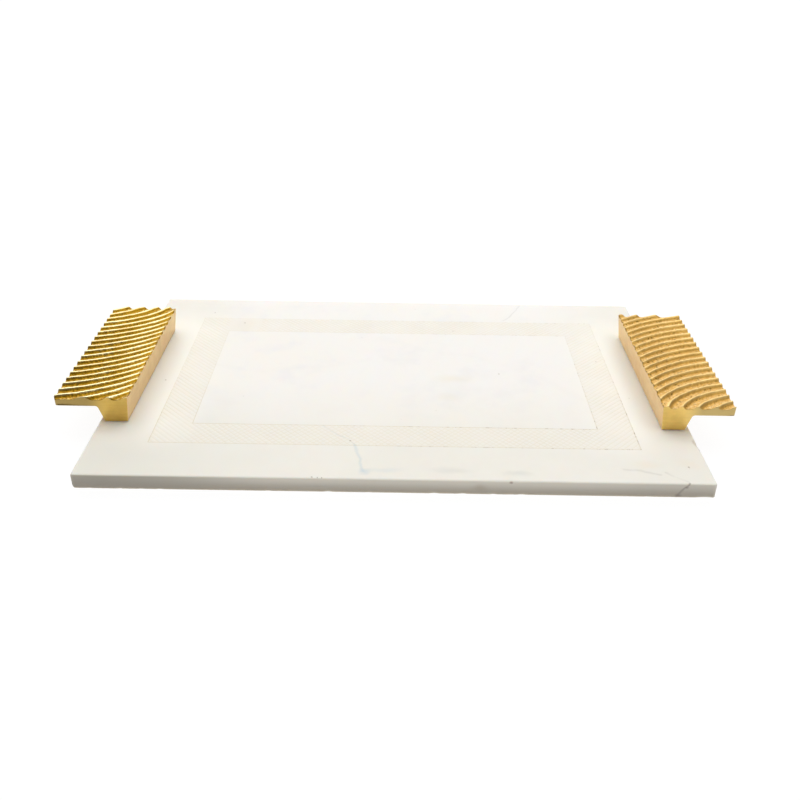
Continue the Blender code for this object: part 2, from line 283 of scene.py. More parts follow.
def outward_normals(outline):
    along = np.roll(outline, -1, axis=0) - np.roll(outline, 1, axis=0)
    normal = np.stack([along[:, 1], -along[:, 0]], -1)
    return normal / np.linalg.norm(normal, axis=1)[:, None]


def handle_stations():
    """(v, inset) pairs along the handle: the section shrinks a little at both ends to round their edges."""
    edge = EDGE_ROUNDING
    half = RIDGE_HALF_SPAN
    angles = [math.radians(a) for a in (0, 18, 36, 54, 72)]
    ends = [(half - edge * (1 - math.cos(a)), edge * (1 - math.sin(a))) for a in angles]
    count = round(2 * (half - edge) / (0.4 * MM))
    middle = [(v, 0.0) for v in np.linspace(-half + edge, half - edge, count + 1)]
    return [(-v, inset) for v, inset in ends] + middle + [(v, inset) for v, inset in reversed(ends)]


def leaning(v, height, side):
    """Spreads places out to the handle's ends, which are further out at its crests than at its foot."""
    to_back = v > 0 if side == "right" else v < 0
    foot = np.where(to_back, HANDLE_ENDS["back"][0], HANDLE_ENDS["front"][0])
    crest = np.where(to_back, HANDLE_ENDS["back"][1], HANDLE_ENDS["front"][1])
    reach = foot + (crest - foot) * np.minimum(height / CREST_HEIGHT, 1)
    return v / RIDGE_HALF_SPAN * reach


def tip_corner(u):
    """How far the plate's two tip corners are rounded back along the handle at u."""
    past = np.clip((u - PLATE_WIDTH) / TIP_CORNER_RADIUS + 1, 0, 1)
    return TIP_CORNER_RADIUS * (1 - np.sqrt(1 - past * past))


def press_ridges(u, v, height, inset, side):
    """The section's heights with the ridges pressed into its top, worn and pitted as a casting is."""
    places = np.stack([u, v, np.full_like(u, 0.05 if side == "left" else 0.15)], -1)
    wobble = 0.35 * MM * noise_at(places, 11 * MM)
    wobble += 0.18 * MM * noise_at(places, 3.5 * MM)
    wave = ridge_wave(ridge_share(u, v, side, wobble))
    full = smooth_step(0, RIDGE_FULL_DEPTH_AT, u)
    depth = RIDGE_DEPTH * (RIDGE_INNER_DEPTH_SHARE + (1 - RIDGE_INNER_DEPTH_SHARE) * full)
    ridge_top = CREST_HEIGHT - depth * (1 - wave) - inset
    ridge_top -= 0.16 * MM * (1 + noise_at(places + 1, 7 * MM)) * wave
    grains = noise_at(places + 2, 1.3 * MM) + 0.5 * noise_at(places + 3, 0.7 * MM)
    ridge_top += PIT_DEPTHS[side] * grains * (1 - 0.85 * wave)
    return smooth_min(height, ridge_top, 0.25 * MM)


def handle_mesh(name, side):
    """A closed loft of the handle's section, with the ridges pressed into its top."""
    outline = handle_outline()
    normals = outward_normals(outline)
    stations = np.array(handle_stations())
    station = np.repeat(stations[:, 0], len(outline))
    inset = np.repeat(stations[:, 1], len(outline))
    u = np.tile(outline[:, 0], len(stations)) - inset * np.tile(normals[:, 0], len(stations))
    height = np.tile(outline[:, 1], len(stations)) - inset * np.tile(normals[:, 1], len(stations))
    rounding = 1 - tip_corner(u) / RIDGE_HALF_SPAN
    v = leaning(station, height, side) * rounding
    top = height > PLATE_UNDERSIDE + 3 * MM
    height[top] = press_ridges(u[top], v[top], height[top], inset[top], side)
    v = leaning(station, height, side) * rounding
    mesh = bpy.data.meshes.new(name)
    caps = [list(range(len(outline)))[::-1], list(range(len(u) - len(outline), len(u)))]
    faces = tube_faces(len(stations), len(outline)).tolist() + caps
    mesh.from_pydata(np.stack([u, v, height], -1).tolist(), [], faces)
    bm = bmesh.new()
    bm.from_mesh(mesh)
    bmesh.ops.recalc_face_normals(bm, faces=bm.faces)
    bm.to_mesh(mesh)
    bm.free()
    return mesh


def bore_handle(handle):
    """Two blind holes for the screws, up from the seat."""
    hole = rod_mesh("bore", TAPPED_HOLE_RADIUS, 0, HANDLE_SEAT + TAPPED_HOLE_DEPTH)
    screw_u = (SCREW_LOW.x + SCREW_HIGH.x) / 2 - HANDLE_INNER_X
    screw_v = (SCREW_LOW.y + SCREW_HIGH.y) / 2
    cutters = []
    for index, v in enumerate((-screw_v, screw_v)):
        cutter = new_object(f"bore_{index}", hole, [])
        cutter.location = (screw_u, v, 0)
        cutters.append(cutter)
    apply_cuts(handle, cutters)


def mark_ridges(mesh, side):
    """Stores where the crests, the steep sides and the inner rim are, for the ridges' material."""
    u, v, height = vertex_places(mesh).T
    share = ridge_share(u, v, side, 0)
    top = height > CREST_HEIGHT - RIDGE_DEPTH - 1.0 * MM
    set_attribute(mesh, "crest", np.where(top, ridge_wave(share), 0))
    steep = smooth_step(0.04, 0.12, share) * smooth_step(0.42, 0.28, share)
    set_attribute(mesh, "steep", np.where(top, steep, 0))
    set_attribute(mesh, "rim", smooth_step(1.2 * MM, 0.6 * MM, u))


def share_out_materials(mesh):
    """Faces that look up take the ridge material, the two ends the end material, others the side one."""
    for polygon in mesh.polygons:
        normal = polygon.normal
        if normal.z > 0.25:
            polygon.material_index = 0
        elif abs(normal.y) > 0.7:
            polygon.material_index = 2
        else:
            polygon.material_index = 1


def add_handle(side, materials):
    """The ridged casting. Its materials are for its ridges, its sides and its ends."""
    sign = 1 if side == "right" else -1
    name = "cast_handle_" + side
    handle = new_object(name, handle_mesh(name, side), materials)
    bore_handle(handle)
    mesh = handle.data
    mark_ridges(mesh, side)
    share_out_materials(mesh)
    turn = Matrix.Rotation(0 if side == "right" else math.pi, 4, "Z")
    mesh.transform(Matrix.Translation((sign * HANDLE_INNER_X, 0, SLAB_TOP)) @ turn)
    shade(mesh, 50)
    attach(handle, "root")
    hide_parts("handle_" + side)
    return handle


# Marble slab


def hatch_strength(x, y):
    """How deeply the two families of hatch lines are cut. Each end of the tray favours one family, and a
    stretch near the back left corner is almost blank."""
    to_left = smooth_step(-118 * MM, -140 * MM, x)
    to_right = smooth_step(118 * MM, 140 * MM, x)
    worn = 0.72 + 0.4 * noise.noise(Vector((x, y, 0.4)) / (22 * MM))
    blank = smooth_step(-106 * MM, -110 * MM, x) * smooth_step(-134 * MM, -130 * MM, x)
    blank *= smooth_step(66 * MM, 69 * MM, y)
    keep = worn * (1 - 0.9 * blank)
    rising = keep * (1 - 0.75 * to_left)
    falling = keep * (1 - 0.75 * to_right)
    return rising, falling


def in_band(x, y, margin):
    """Whether a place is on the band, or no further than the margin from it."""
    outside_x = abs(x) - BAND_LENGTH / 2
    outside_y = abs(y) - BAND_DEPTH / 2
    in_outer = max(outside_x, outside_y) < margin
    in_inner = max(outside_x, outside_y) <= -BAND_WIDTH - margin
    return in_outer and not in_inner


def hatch_lines(draw):
    """Places of the hatch lines across their own direction, as (place, is_groove) pairs."""
    reach = (BAND_LENGTH + BAND_DEPTH) / 2 / math.sqrt(2) + 3 * HATCH_PITCH
    count = math.ceil(reach / HATCH_PITCH)
    places = []
    for index in range(-count, count + 1):
        middle = index * HATCH_PITCH + draw.uniform(-0.22, 0.22) * MM
        places += [(middle - HATCH_HALF_WIDTH, False), (middle, True), (middle + HATCH_HALF_WIDTH, False)]
    return places


def add_hatch_sheet(bm, cut_layer):
    """The band's surface: a grid laid at 45 degrees whose lines dip where a groove runs."""
    draw = random.Random(11)
    falling_lines = hatch_lines(draw)
    rising_lines = hatch_lines(draw)
    verts = {}

    def vert_at(i, j):
        if (i, j) not in verts:
            along, falling_groove = falling_lines[i]
            across, rising_groove = rising_lines[j]
            x = (along - across) / math.sqrt(2)
            y = (along + across) / math.sqrt(2)
            rising, falling = hatch_strength(x, y)
            depth = max(falling * falling_groove, rising * rising_groove)
            bend = 0.25 * MM * noise.noise(Vector((x, y, 3.1)) / (15 * MM))
            vert = bm.verts.new((x + bend, y - bend, SLAB_TOP - HATCH_DEPTH * depth))
            vert[cut_layer] = depth
            verts[i, j] = vert
        return verts[i, j]

    margin = 2 * HATCH_PITCH
    for i in range(len(falling_lines) - 1):
        for j in range(len(rising_lines) - 1):
            along = falling_lines[i][0]
            across = rising_lines[j][0]
            if in_band((along - across) / math.sqrt(2), (along + across) / math.sqrt(2), margin):
                bm.faces.new([vert_at(i, j), vert_at(i + 1, j), vert_at(i + 1, j + 1), vert_at(i, j + 1)])


def trim_hatch_sheet(bm):
    """Cuts the hatch sheet back to the ring between the two incised rectangles."""
    for half_x, half_y, clears in band_edges():
        for axis, half in ((0, half_x), (1, half_y)):
            for sign in (-1, 1):
                place = Vector((0, 0, 0))
                place[axis] = sign * half
                normal = Vector((0, 0, 0))
                normal[axis] = sign
                geometry = bm.verts[:] + bm.edges[:] + bm.faces[:]
                bmesh.ops.bisect_plane(
                    bm, geom=geometry, dist=1e-7, plane_co=place, plane_no=normal, clear_outer=clears
                )
    half_x, half_y, _ = band_edges()[1]
    inner = []
    for face in bm.faces:
        middle = face.calc_center_median()
        if abs(middle.x) < half_x and abs(middle.y) < half_y:
            inner.append(face)
    bmesh.ops.delete(bm, geom=inner, context="FACES")


def band_edges():
    """Half sizes of the hatch sheet's outer and inner edges, just inside the incised lines."""
    lip = INCISION_HALF_WIDTH
    outer = (BAND_LENGTH / 2 - lip, BAND_DEPTH / 2 - lip, True)
    inner = (BAND_LENGTH / 2 - BAND_WIDTH + lip, BAND_DEPTH / 2 - BAND_WIDTH + lip, False)
    return outer, inner


def add_incision(bm, half_x, half_y, outward, cut_layer, border_layer):
    """Extrudes the sheet's edge down into the incised line and up again. Returns the far lip's edges."""
    on_edge = []
    for edge in bm.edges:
        if not edge.is_boundary:
            continue
        if all(at_rectangle(vert.co, half_x, half_y) for vert in edge.verts):
            on_edge.append(edge)
    for outset, drop, border in ((1, INCISION_DEPTH, 1.0), (2, 0, 0.0)):
        made = bmesh.ops.extrude_edge_only(bm, edges=on_edge)["geom"]
        step = INCISION_HALF_WIDTH * outward
        for vert in (item for item in made if isinstance(item, bmesh.types.BMVert)):
            for axis, half in ((0, half_x), (1, half_y)):
                edge_now = half + step * (outset - 1)
                if abs(abs(vert.co[axis]) - edge_now) < 1e-6:
                    vert.co[axis] += math.copysign(1, vert.co[axis]) * step
            vert.co.z = SLAB_TOP - drop
            vert[cut_layer] = 0
            vert[border_layer] = border
        on_edge = [item for item in made if isinstance(item, bmesh.types.BMEdge) and item.is_boundary]
    return on_edge


def at_rectangle(place, half_x, half_y):
    close = 1e-6
    on_x = abs(abs(place.x) - half_x) < close and abs(place.y) < half_y + close
    on_y = abs(abs(place.y) - half_y) < close and abs(place.x) < half_x + close
    return on_x or on_y


def slab_outline(inset):
    """Points round the slab's outline, about 1.5 mm apart, with rounded corners."""
    half_x = SLAB_HIGH.x
    half_y = SLAB_HIGH.y
    radius = SLAB_CORNER_RADIUS
    points = []
    corners = ((1, -1, -90), (1, 1, 0), (-1, 1, 90), (-1, -1, 180))
    for index, (x_sign, y_sign, start) in enumerate(corners):
        centre = (x_sign * (half_x - radius), y_sign * (half_y - radius))
        points += arc(centre, radius - inset, start, start + 90, 6)
        next_x, next_y, next_start = corners[(index + 1) % 4]
        next_centre = (next_x * (half_x - radius), next_y * (half_y - radius))
        next_point = arc(next_centre, radius - inset, next_start, next_start, 1)[0]
        points += line(points[-1], next_point, 1.5 * MM)[1:]
    return points


def slab_levels():
    """(inset, height) pairs down the slab's side, from its top face to its underside."""
    top = arc((SLAB_ARRIS, SLAB_TOP - SLAB_ARRIS), SLAB_ARRIS, 90, 180, 6)
    low = 0.9 * MM
    bottom = arc((low, SLAB_BOTTOM + low), low, 180, 270, 5)
    return top + line(top[-1], bottom[0], 1.2 * MM)[1:] + bottom


def edge_wear(x, y, height):
    """How far the slab's side is worn, chipped or dented inward here: never at its top face's own edge."""
    if height > SLAB_TOP - 0.01 * MM:
        return 0.0
    chip = max(0, noise.noise(Vector((x, y, 7.7)) / (6 * MM)) - 0.2)
    low_share = max(0, 1 - (height - SLAB_BOTTOM) / (2.2 * MM))
    wave = 0.06 * MM * abs(noise.noise(Vector((x, y, height)) / (35 * MM)))
    dent = max(0, 1 - math.dist((x, y), SLAB_DENT) / (7 * MM))
    pits = 0.5 + noise.noise(Vector((x, y, height)) / (1.5 * MM))
    return wave + 1.5 * MM * chip * low_share + 0.6 * MM * dent * pits


def add_slab_sides(bm):
    """The slab's rounded edge all round, with a few chips along its lower arris. Returns the end loops."""
    rings = []
    for inset, height in slab_levels():
        ring = []
        for x, y in slab_outline(inset):
            wear = edge_wear(x, y, height)
            ring.append(bm.verts.new((x * (1 - wear / SLAB_HIGH.x), y * (1 - wear / SLAB_HIGH.y), height)))
        rings.append(ring)
    for upper, lower in zip(rings, rings[1:]):
        for index in range(len(upper)):
            after = (index + 1) % len(upper)
            bm.faces.new([upper[index], lower[index], lower[after], upper[after]])
    return loop_edges(bm, rings[0]), loop_edges(bm, rings[-1])


def loop_edges(bm, ring):
    found = []
    for index, vert in enumerate(ring):
        after = ring[(index + 1) % len(ring)]
        found.append(bm.edges.get([vert, after]) or bm.edges.new([vert, after]))
    return found


def add_stepped_hole(bm, x, y):
    """A counterbore and a screw hole through the slab. Returns its edges at the underside and at the top."""
    levels = [
        (COUNTERBORE_RADIUS + 0.3 * MM, SLAB_BOTTOM),
        (COUNTERBORE_RADIUS, SLAB_BOTTOM + 0.3 * MM),
        (COUNTERBORE_RADIUS, COUNTERBORE_TOP),
        (SCREW_HOLE_RADIUS, COUNTERBORE_TOP),
        (SCREW_HOLE_RADIUS, SLAB_TOP),
    ]
    rings = []
    for radius, height in levels:
        points = arc((x, y), radius, 0, 352.5, 47)
        rings.append([bm.verts.new((*point, height)) for point in points])
    for lower, upper in zip(rings, rings[1:]):
        for index in range(len(lower)):
            after = (index + 1) % len(lower)
            bm.faces.new([lower[index], upper[index], upper[after], lower[after]])
    return loop_edges(bm, rings[0]), loop_edges(bm, rings[-1])


def add_slab(material):
    bm = bmesh.new()
    cut_layer = bm.verts.layers.float.new("cut")
    border_layer = bm.verts.layers.float.new("border")
    add_hatch_sheet(bm, cut_layer)
    trim_hatch_sheet(bm)
    (outer_x, outer_y, _), (inner_x, inner_y, _) = band_edges()
    outer_lip = add_incision(bm, outer_x, outer_y, 1, cut_layer, border_layer)
    inner_lip = add_incision(bm, inner_x, inner_y, -1, cut_layer, border_layer)
    side_top, bottom_edges = add_slab_sides(bm)
    top_edges = outer_lip + side_top
    for place in PLACES:
        low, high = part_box("screw_" + place)
        below, above = add_stepped_hole(bm, (low.x + high.x) / 2, (low.y + high.y) / 2)
        top_edges += above
        bottom_edges += below
    flat_faces = []
    for edges in (top_edges, bottom_edges, inner_lip):
        made = bmesh.ops.triangle_fill(bm, use_beauty=True, use_dissolve=False, edges=edges)["geom"]
        flat_faces += [item for item in made if isinstance(item, bmesh.types.BMFace)]
    bmesh.ops.recalc_face_normals(bm, faces=bm.faces)
    bm.faces.index_update()
    flat_indices = [face.index for face in flat_faces]
    mesh = mesh_from(bm, "carved_slab")
    shade(mesh, 30)
    for index in flat_indices:
        mesh.polygons[index].use_smooth = False
    slab = new_object("carved_slab", mesh, [material])
    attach(slab, "root")
    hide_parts("marble_slab")
    return slab


# Node helpers


def node(tree, kind, values=None, **settings):
    """A shader node with its inputs set, or linked where a value is a socket."""
    made = tree.nodes.new("ShaderNode" + kind)
    for name, value in settings.items():
        setattr(made, name, value)
    for key, value in (values or {}).items():
        if isinstance(value, bpy.types.NodeSocket):
            tree.links.new(value, made.inputs[key])
        else:
            made.inputs[key].default_value = value
    return made


def calc(tree, operation, first, second=0.0, third=0.0, clamp=False):
    values = {0: first, 1: second, 2: third}
    return node(tree, "Math", values, operation=operation, use_clamp=clamp).outputs[0]


def times(tree, first, second, clamp=False):
    return calc(tree, "MULTIPLY", first, second, clamp=clamp)


def times_plus(tree, value, factor, offset):
    return calc(tree, "MULTIPLY_ADD", value, factor, offset)


def one_minus(tree, value):
    return calc(tree, "SUBTRACT", 1.0, value)


def vector_calc(tree, operation, first, second, output="Vector"):
    return node(tree, "VectorMath", {0: first, 1: second}, operation=operation).outputs[output]


def ramp_between(tree, value, low, high):
    """0 below low, 1 above high, smooth between."""
    values = {"Value": value, "From Min": low, "From Max": high}
    return node(tree, "MapRange", values, interpolation_type="SMOOTHSTEP").outputs["Result"]


def mix(tree, share, first, second, blend="MIX"):
    made = node(tree, "Mix", data_type="RGBA", blend_type=blend)
    for key, value in {"Factor_Float": share, "A_Color": first, "B_Color": second}.items():
        socket = next(s for s in made.inputs if s.identifier == key)
        if isinstance(value, bpy.types.NodeSocket):
            tree.links.new(value, socket)
        else:
            socket.default_value = value if isinstance(value, float) else (*value, 1)
    return next(s for s in made.outputs if s.identifier == "Result_Color")


def noise_node(tree, vector, scale, detail=2.0, roughness=0.5, distortion=0.0):
    values = {"Vector": vector, "Scale": scale, "Detail": detail}
    values.update({"Roughness": roughness, "Distortion": distortion})
    return node(tree, "TexNoise", values).outputs["Fac"]


def stretched(tree, vector, scale):
    return node(tree, "Mapping", {"Vector": vector, "Scale": scale}).outputs["Vector"]


def attribute(tree, name):
    return node(tree, "Attribute", attribute_name=name).outputs["Fac"]


def bump_normal(tree, height, strength, distance):
    values = {"Height": height, "Strength": strength, "Distance": distance}
    return node(tree, "Bump", values).outputs["Normal"]


def new_material(name):
    material = bpy.data.materials.new(name)
    material.use_nodes = True
    tree = material.node_tree
    return material, tree, tree.nodes["Principled BSDF"]


def set_inputs(tree, shader, **values):
    for name, value in values.items():
        socket = shader.inputs[name.replace("_", " ")]
        if isinstance(value, bpy.types.NodeSocket):
            tree.links.new(value, socket)
        else:
            socket.default_value = value


# Materials


def rectangle_edge(tree, across, along, half_x, half_y):
    """How far outside a centred rectangle a point is, in metres, and negative inside it."""
    out_x = calc(tree, "SUBTRACT", calc(tree, "ABSOLUTE", across), half_x)
    out_y = calc(tree, "SUBTRACT", calc(tree, "ABSOLUTE", along), half_y)
    return calc(tree, "MAXIMUM", out_x, out_y)


def vein_share(tree, place, points, width):
    """1 on a crooked line through the points, falling to 0 this far from it."""
    nearest = None
    for start, end in zip(points, points[1:]):
        a = Vector((start[0] * MM, start[1] * MM, 0))
        step = Vector((end[0] * MM, end[1] * MM, 0)) - a
        from_a = vector_calc(tree, "SUBTRACT", place, a)
        dot = vector_calc(tree, "DOT_PRODUCT", from_a, step, "Value")
        share = calc(tree, "DIVIDE", dot, step.length_squared, clamp=True)
        along = node(tree, "VectorMath", {0: step, "Scale": share}, operation="SCALE").outputs[0]
        gap = vector_calc(tree, "DISTANCE", from_a, along, "Value")
        nearest = gap if nearest is None else calc(tree, "MINIMUM", nearest, gap)
    return one_minus(tree, ramp_between(tree, nearest, 0.0, width))


VEINS = (
    # points in mm on the slab's top, half width in mm, strength, colour
    (((-46, -69), (-38, -77), (-31, -83), (-25, -91)), 1.1, 0.26, (0.50, 0.60, 0.68)),
    (((-25, -91), (-20, -105), (-18, -118)), 1.9, 0.34, (0.50, 0.62, 0.70)),
    (((138, -112), (148, -115), (158, -119)), 1.7, 0.26, (0.46, 0.44, 0.38)),
    (((162, -117), (168, -121), (174, -125)), 1.4, 0.26, (0.46, 0.44, 0.38)),
    (((174, -126.6), (174, -129)), 1.2, 0.7, (0.26, 0.22, 0.18)),
    (((103, 124), (97, 112), (91, 104), (84, 94)), 0.9, 0.24, (0.45, 0.43, 0.38)),
    (((-150, 30), (-128, 12), (-96, 4), (-60, 10), (-20, 24)), 5.0, 0.04, (0.62, 0.62, 0.60)),
    (((-12, 60), (20, 40), (58, 30), (96, 8), (128, -30)), 6.0, 0.04, (0.60, 0.60, 0.60)),
)
# How far the veins run along the tray for each step down through the stone
VEIN_DRIFT = -0.75
STAINS = (
    # centre and half sizes in mm, heights above the slab's top, strength, colour
    ((-17, -119, 0), (4, 4, 30), 0.34, (0.46, 0.62, 0.70)),
    ((-6, -117, 0), (15, 3, 30), 0.2, (0.52, 0.63, 0.70)),
    ((34, -116, 0), (14, 4, 30), 0.2, (0.50, 0.52, 0.50)),
    ((74, -120, 0), (10, 3, 30), 0.22, (0.50, 0.52, 0.50)),
    ((41, -4, 0), (16, 7, 30), 0.2, (0.80, 0.70, 0.46)),
    ((36, -30, 0), (9, 6, 30), 0.14, (0.80, 0.70, 0.48)),
    ((-120, 79, 0), (13, 12, 30), 0.12, (0.72, 0.58, 0.42)),
    ((152, -108, 0), (11, 6, 30), 0.16, (0.86, 0.68, 0.45)),
    ((179, -106, 0), (8, 6, 30), 0.14, (0.86, 0.68, 0.45)),
    ((-29, -86, 0), (0.8, 0.8, 9), 0.9, (0.28, 0.20, 0.12)),
    ((-49, -126, 0), (0.6, 0.8, 0.8), 0.7, (0.20, 0.15, 0.10)),
    ((-46, -126, 0), (0.5, 0.8, 0.8), 0.7, (0.20, 0.15, 0.10)),
    ((-43, -126, 0), (0.5, 0.8, 0.8), 0.7, (0.20, 0.15, 0.10)),
    ((50, -127, -5), (5, 4, 3), 0.3, (0.36, 0.27, 0.16)),
    ((70, -126.6, -1.2), (1.1, 1.5, 0.8), 0.9, (0.22, 0.08, 0.04)),
    ((173, -127, -2.5), (1.2, 3, 1.0), 0.6, (0.18, 0.14, 0.12)),
    ((168, -127, -8.5), (2.0, 3, 1.6), 0.6, (0.18, 0.14, 0.12)),
    ((190.3, -86, -0.5), (1.3, 8, 1.6), 0.7, (0.26, 0.20, 0.16)),
)


def marble_ground(tree, place, patch):
    """White stone, clouded with slightly warmer and greyer areas."""
    cloud = noise_node(tree, place, 9.0, 4.0, 0.55, 0.6)
    colour = mix(tree, ramp_between(tree, cloud, 0.35, 0.68), (0.905, 0.890, 0.858), (0.912, 0.886, 0.83))
    return mix(tree, ramp_between(tree, patch, 0.5, 0.75), colour, (0.875, 0.860, 0.838))


def crooked_place(tree, place):
    """The place bent by noise, so that lines and blots drawn in it have natural edges."""
    bend = node(tree, "TexNoise", {"Vector": place, "Scale": 55.0, "Detail": 3.0}).outputs["Color"]
    bend = vector_calc(tree, "SUBTRACT", bend, (0.5, 0.5, 0.5))
    return vector_calc(tree, "ADD", place, vector_calc(tree, "MULTIPLY", bend, (9 * MM, 9 * MM, 3 * MM)))


def add_veins(tree, colour, crooked, place):
    axes = node(tree, "SeparateXYZ", {0: crooked}).outputs
    drift = times(tree, calc(tree, "SUBTRACT", SLAB_TOP, axes["Z"]), VEIN_DRIFT)
    along = calc(tree, "SUBTRACT", axes["X"], drift)
    flat = node(tree, "CombineXYZ", {"X": along, "Y": axes["Y"]}).outputs[0]
    broken = ramp_between(tree, noise_node(tree, place, 60.0, 3.0), 0.25, 0.55)
    for points, width, strength, tone in VEINS:
        share = times(tree, vein_share(tree, flat, points, width * MM), strength)
        colour = mix(tree, times(tree, share, broken), colour, tone)
    return colour


def add_stains(tree, colour, crooked):
    for centre, size, strength, tone in STAINS:
        middle = Vector(centre) * MM + Vector((0, 0, SLAB_TOP))
        away = vector_calc(tree, "SUBTRACT", crooked, middle)
        sized = vector_calc(tree, "DIVIDE", away, Vector(size) * MM)
        spread = node(tree, "VectorMath", {0: sized}, operation="LENGTH").outputs["Value"]
        share = one_minus(tree, ramp_between(tree, spread, 0.0, 1.3))
        colour = mix(tree, times(tree, share, strength), colour, tone)
    return colour


def band_area(tree, axes):
    """1 on the slab's top between the two incised rectangles."""
    outer = rectangle_edge(tree, axes["X"], axes["Y"], BAND_LENGTH / 2, BAND_DEPTH / 2)
    inner_x = BAND_LENGTH / 2 - BAND_WIDTH
    inner_y = BAND_DEPTH / 2 - BAND_WIDTH
    inner = rectangle_edge(tree, axes["X"], axes["Y"], inner_x, inner_y)
    inside_outer = ramp_between(tree, outer, 0.3 * MM, -0.3 * MM)
    outside_inner = ramp_between(tree, inner, -0.3 * MM, 0.3 * MM)
    on_top = ramp_between(tree, axes["Z"], SLAB_TOP - 2 * MM, SLAB_TOP - 1 * MM)
    return times(tree, times(tree, inside_outer, outside_inner), on_top)


def add_warm_tones_and_painted_light(tree, colour, axes, patch):
    """The margins towards the front and the ends are creamier, the engraved band more so. Towards the ends
    the cream is partly painted warm light bounced off the gold, the front left corner is darkened with
    painted shade, and the stone next to the handles is lightened with a painted glow."""
    uneven = ramp_between(tree, patch, 0.2, 0.7)
    to_front = ramp_between(tree, axes["Y"], 0.0, -0.11)
    from_middle = calc(tree, "ABSOLUTE", axes["X"])
    toward_handles_bounce = ramp_between(tree, from_middle, 0.11, 0.17)
    # Towards the ends, next to the handles, the cream is partly painted warm light bounced off the gold.
    cream_and_bounce = calc(tree, "MAXIMUM", to_front, toward_handles_bounce)
    cream_and_bounce = times(tree, cream_and_bounce, times_plus(tree, uneven, 0.4, 0.7), clamp=True)
    colour = mix(tree, times(tree, cream_and_bounce, 0.8), colour, (0.852, 0.828, 0.746))
    # Painted shade: the front left corner is darkened where less light falls.
    painted_corner_shade = times(tree, to_front, ramp_between(tree, axes["X"], -0.05, -0.18))
    colour = mix(tree, times(tree, painted_corner_shade, 0.7), colour, (0.765, 0.752, 0.668))
    # Painted light: next to the handles the stone is lightened and warmed, standing in for the gold's bounced
    # light and filling the handles' shadow.
    glow_reach = ramp_between(tree, calc(tree, "ABSOLUTE", axes["Y"]), 0.11, 0.06)
    painted_glow_by_handles = times(tree, glow_reach, ramp_between(tree, from_middle, 0.115, 0.165))
    colour = mix(tree, painted_glow_by_handles, colour, (0.99, 0.95, 0.86))
    share = times(tree, band_area(tree, axes), times_plus(tree, uneven, 0.4, 0.3))
    return mix(tree, share, colour, (0.885, 0.850, 0.762))


def add_sawn_sides_and_painted_shade(tree, colour, axes):
    """The slab's sides, less polished than its top, are greyer: partly their own duller tone, partly painted
    shade that deepens towards their lower edge and their ends.
    """
    facing = node(tree, "SeparateXYZ", {0: node(tree, "NewGeometry").outputs["Normal"]}).outputs
    up = calc(tree, "ABSOLUTE", facing["Z"])
    side = one_minus(tree, ramp_between(tree, up, 0.1, 0.9))
    # Painted shade, over the sides' own greyer tone: the sides grow darker towards their lower edge.
    low = ramp_between(tree, axes["Z"], SLAB_TOP, SLAB_BOTTOM + 1 * MM)
    share = times(tree, side, times_plus(tree, low, 0.72, 0.28))
    colour = mix(tree, share, colour, (0.45, 0.41, 0.335))
    # Painted shade: the sides grow darker towards their ends, most towards the left end.
    left = times(tree, ramp_between(tree, axes["X"], -0.05, -0.18), 0.75)
    right = times(tree, ramp_between(tree, axes["X"], 0.07, 0.19), 0.22)
    ends = times(tree, calc(tree, "MAXIMUM", left, right), side)
    return mix(tree, ends, colour, (0.34, 0.31, 0.26))


def add_engraving(tree, colour, axes, place):
    """Yellowish hatch grooves; an olive tint in the incised lines, stronger at the front, partly their own
    tone and partly painted shade; and brown dirt in the incised lines that is worst at the right and front.
    """
    colour = mix(tree, times(tree, attribute(tree, "cut"), 0.34), colour, (0.70, 0.60, 0.36))
    soil = ramp_between(tree, noise_node(tree, place, 300.0, 3.0, 0.65), 0.5, 0.66)
    to_right = ramp_between(tree, axes["X"], -0.10, 0.15)
    to_front = ramp_between(tree, axes["Y"], 0.02, -0.08)
    worst = times(tree, to_right, times_plus(tree, to_front, 0.5, 0.5))
    dirt = times(tree, soil, times_plus(tree, worst, 0.9, 0.2))
    incised = attribute(tree, "border")
    # Partly painted shade: the olive tint darkens the shallow incised lines, more towards the front.
    line_tone_and_shade = times(tree, incised, times_plus(tree, to_front, 0.4, 0.18))
    colour = mix(tree, line_tone_and_shade, colour, (0.62, 0.52, 0.28))
    return mix(tree, times(tree, incised, dirt, clamp=True), colour, (0.26, 0.16, 0.07))


def add_specks(tree, colour, place):
    """Sparse small dark grains and an even fine grain."""
    near = node(tree, "TexVoronoi", {"Vector": place, "Scale": 75.0}).outputs["Distance"]
    speck = one_minus(tree, ramp_between(tree, near, 0.03, 0.07))
    rare = ramp_between(tree, noise_node(tree, place, 45.0, 1.0), 0.55, 0.6)
    share = times(tree, times(tree, speck, rare), 0.6)
    colour = mix(tree, share, colour, (0.30, 0.24, 0.16))
    grain = noise_node(tree, place, 900.0, 2.0, 0.6)
    return mix(tree, times(tree, grain, 0.05), colour, (0.72, 0.70, 0.66))


